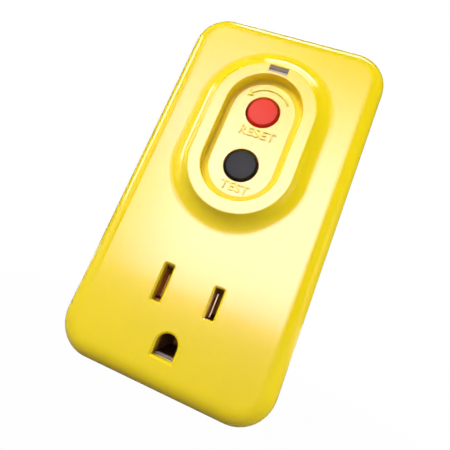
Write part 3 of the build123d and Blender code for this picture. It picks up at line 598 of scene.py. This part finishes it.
def reset_arrow():
    """A raised arc with an arrowhead over the red button."""
    sweep = ARROW_END - ARROW_START
    arc = [
        arc_point(ARROW_RADIUS, ARROW_START + sweep * index / ARROW_STEPS)
        for index in range(ARROW_STEPS + 1)
    ]
    turn = ARROW_HEAD / ARROW_RADIUS
    wing = ARROW_HEAD * ARROW_SPREAD
    head = [
        arc_point(ARROW_RADIUS + wing, ARROW_END - turn),
        arc_point(ARROW_RADIUS, ARROW_END),
        arc_point(ARROW_RADIUS - wing, ARROW_END - turn),
    ]
    rounded_strokes("reset_arrow", [arc, head], ARROW_STROKE / 2)


def mould_mark():
    """A short raised tick between the buttons."""
    ends = [Vector((MARK_X, PAD_Y, z)) for z in MARK_SPAN]
    rounded_strokes("mould_mark", [ends], MARK_STROKE / 2)


def contact_creases():
    """The bend of each outlet contact's left leaf; on the line contact the bend is near-white, a
    painted highlight where it catches the lamps.
    """
    for name, node, mat in (
        ("line_crease", "line_contact", "painted_glint"), ("neutral_crease", "neutral_contact", "contact"),
    ):
        low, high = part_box(node)
        x = (low.x + high.x) / 2 - CREASE_X
        y = low.y + CREASE_Y
        ends = [Vector((x, y, low.z + CREASE_INSET)), Vector((x, y, high.z - CREASE_TOP_INSET))]
        rounded_strokes(name, [ends], CREASE_RADIUS, mat, CREASE_FLAT)


def ground_ribs():
    """A ribbed plated strip at the foot of the ground opening."""
    pitch = 2 * RIB_HALF_WIDTH / RIB_COUNT
    line = []
    for index in range(RIB_COUNT):
        left = -RIB_HALF_WIDTH + index * pitch
        line += [(left, RIB_LOW), (left + pitch / 2, RIB_HIGH)]
    line.append((RIB_HALF_WIDTH, RIB_LOW))
    form = bmesh.new()
    rows = [
        [form.verts.new((x + shift, y, z)) for x, z in line]
        for y, shift in ((RIB_FRONT, 0.0), (RIB_BACK, RIB_SLANT))
    ]
    for index in range(len(line) - 1):
        form.faces.new([rows[0][index], rows[0][index + 1], rows[1][index + 1], rows[1][index]])
    bmesh.ops.recalc_face_normals(form, faces=form.faces)
    bmesh.ops.solidify(form, geom=form.faces[:], thickness=RIB_THICKNESS)
    mesh = form_mesh("ground_ribs", form)
    add_piece("ground_ribs", mesh, MATERIALS["nickel"], "case")


def lathe(name, profile, centre):
    """A mesh turned about a line along Y, from (radius, y) points."""
    form = bmesh.new()
    rings = []
    for radius, y in profile:
        if radius == 0:
            rings.append([form.verts.new((centre.x, y, centre.z))])
            continue
        rings.append([
            form.verts.new((
                centre.x + radius * math.cos(math.tau * k / LATHE_STEPS),
                y,
                centre.z + radius * math.sin(math.tau * k / LATHE_STEPS),
            ))
            for k in range(LATHE_STEPS)
        ])
    for first, second in zip(rings, rings[1:]):
        for k in range(LATHE_STEPS):
            after = (k + 1) % LATHE_STEPS
            corners = [first[k % len(first)], first[after % len(first)],
                       second[after % len(second)], second[k % len(second)]]
            form.faces.new(list(dict.fromkeys(corners)))
    bmesh.ops.recalc_face_normals(form, faces=form.faces)
    for face in form.faces:
        face.smooth = True
    return form_mesh(name, form)


def button_profile(low, high, stem_radius):
    """The turned outline of a button: dome, rounded rim, flange and stem."""
    dome = [
        (BUTTON_RADIUS * share, low.y + BUTTON_DOME * share * share)
        for share in [index / DOME_STEPS for index in range(DOME_STEPS)]
    ]
    rim_y = low.y + BUTTON_DOME
    turn = [
        (
            BUTTON_RADIUS - BUTTON_EDGE * (1 - math.sin(angle)),
            rim_y + BUTTON_EDGE * (1 - math.cos(angle)),
        )
        for angle in [math.pi / 2 * index / EDGE_STEPS for index in range(1, EDGE_STEPS + 1)]
    ]
    flange_y = FACE_Y + FLANGE_FRONT
    back_y = flange_y + FLANGE_DEPTH
    flange_radius = (high.x - low.x) / 2
    return dome + turn + [
        (BUTTON_RADIUS, flange_y), (flange_radius, flange_y),
        (flange_radius, back_y), (stem_radius, back_y),
        (stem_radius, high.y), (0, high.y),
    ]


def buttons():
    """The two push buttons, turned to the outline of their CAD solids."""
    for node, mat, body, slot, stem in (
        ("reset_button", "red", "reset", "red_plastic", RESET_STEM),
        ("test_button", "black", "test", "black_plastic", TEST_STEM),
    ):
        low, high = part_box(node)
        mesh = lathe(node + "_cap", button_profile(low, high, stem), (low + high) / 2)
        mesh.set_sharp_from_angle(angle=CRISP_ANGLE)
        piece = add_piece(node + "_cap", mesh, MATERIALS[mat], body)
        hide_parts(node)


def white_share(tree, behind):
    """How much of the white backdrop a ray sees.

    Camera rays see all of it; glossy and transmission rays see it where it
    stands, behind the object. Other rays see none.
    """
    path = tree.nodes.new("ShaderNodeLightPath")
    share = path.outputs["Is Camera Ray"]
    for name in ("Is Glossy Ray", "Is Transmission Ray"):
        there = combine(tree, "MULTIPLY", behind, path.outputs[name])
        share = combine(tree, "MAXIMUM", share, there)
    return share


def floor():
    """A pale floor that fades into the white surround and keeps the object's shadow."""
    form = bmesh.new()
    bmesh.ops.create_grid(form, x_segments=FLOOR_CELLS, y_segments=FLOOR_CELLS, size=FLOOR_HALF)
    mesh = form_mesh("floor", form)
    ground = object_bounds()[0][2]
    sheet = link("floor", mesh)
    sheet.location.z = ground
    mat, tree, shader = material("floor_paper")
    greys = [(place, (tone,) * 3) for place, tone in zip(FLOOR_STOPS, FLOOR_TONES)]
    tree.links.new(ramp(tree, noise(tree, *PAPER_NOISE), greys), shader.inputs["Base Color"])
    shader.inputs["Roughness"].default_value = FLOOR_ROUGH
    coords = tree.nodes.new("ShaderNodeTexCoord")
    reach = tree.nodes.new("ShaderNodeVectorMath")
    reach.operation = "LENGTH"
    tree.links.new(coords.outputs["Object"], reach.inputs[0])
    fade = step(tree, reach.outputs["Value"], FADE_START, FADE_END, FLOOR_GLOW)
    behind = step(tree, axes(tree)["Y"], *FLOOR_EDGE)
    share = combine(tree, "MULTIPLY", fade, white_share(tree, behind))
    glow = tree.nodes.new("ShaderNodeEmission")
    glow.inputs["Color"].default_value = (*WHITE, 1)
    mix = tree.nodes.new("ShaderNodeMixShader")
    tree.links.new(share, mix.inputs["Fac"])
    tree.links.new(shader.outputs["BSDF"], mix.inputs[1])
    tree.links.new(glow.outputs["Emission"], mix.inputs[2])
    tree.links.new(mix.outputs["Shader"], tree.nodes["Material Output"].inputs["Surface"])
    mesh.materials.append(mat)
    sheet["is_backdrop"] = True


def surround():
    """A world that is seen as white and lights the object softly."""
    world = bpy.data.worlds.new("studio")
    world.use_nodes = True
    bpy.context.scene.world = world
    tree = world.node_tree
    back = tree.nodes["Background"]
    back.inputs["Color"].default_value = (*WHITE, 1)
    behind = step(tree, axes(tree, "Generated")["Y"], *WORLD_EDGE)
    level = spread(tree, white_share(tree, behind), AMBIENT, 1.0)
    tree.links.new(level, back.inputs["Strength"])


def lamp(name, place, size, power, mirrored=False, tint=WHITE, fades=None):
    """A soft lamp: it either lights the scene or is only mirrored in glossy surfaces."""
    data = bpy.data.lights.new(name, "AREA")
    data.shape = "RECTANGLE"
    data.size, data.size_y = size
    data.energy = power
    data.color = tint
    holder = link(name, data)
    holder.location = place
    holder.rotation_euler = (AIM - place).normalized().to_track_quat("-Z", "Y").to_euler()
    holder.visible_camera = False
    holder.visible_glossy = mirrored
    holder.visible_diffuse = not mirrored
    if fades:
        soft_edges(data, fades)


def soft_edges(data, fades):
    """Lets an area lamp fade towards its edges, by a share of its width and height."""
    data.use_nodes = True
    tree = data.node_tree
    place = tree.nodes.new("ShaderNodeSeparateXYZ")
    across = tree.nodes.new("ShaderNodeNewGeometry")
    tree.links.new(across.outputs["Parametric"], place.inputs[0])
    parts = []
    for axis, (low, high) in fades.items():
        parts.append(step(tree, place.outputs[axis], 0.0, low))
        parts.append(step(tree, place.outputs[axis], 1.0 - high, 1.0, 1.0, 0.0))
    tree.links.new(product(tree, parts), tree.nodes["Emission"].inputs["Strength"])


def camera():
    """The photograph's viewpoint."""
    data = bpy.data.cameras.new("camera")
    data.lens = CAMERA_LENS
    data.sensor_width = SENSOR_WIDTH
    data.clip_start = CLIP_START
    holder = link("camera", data)
    back = CAMERA_RIGHT.cross(CAMERA_UP)
    turn = Matrix((CAMERA_RIGHT, CAMERA_UP, back)).transposed().to_4x4()
    holder.matrix_world = Matrix.Translation(CAMERA_PLACE) @ turn
    bpy.context.scene.camera = holder


dress_nodes()
words()
reset_arrow()
mould_mark()
contact_creases()
ground_ribs()
buttons()
floor()
surround()
for lamp_name, lamp_place, lamp_size, lamp_power, lamp_options in LAMPS:
    lamp(lamp_name, Vector(lamp_place) * MM, lamp_size, lamp_power, **lamp_options)
camera()
bpy.context.scene.view_settings.view_transform = "Standard"
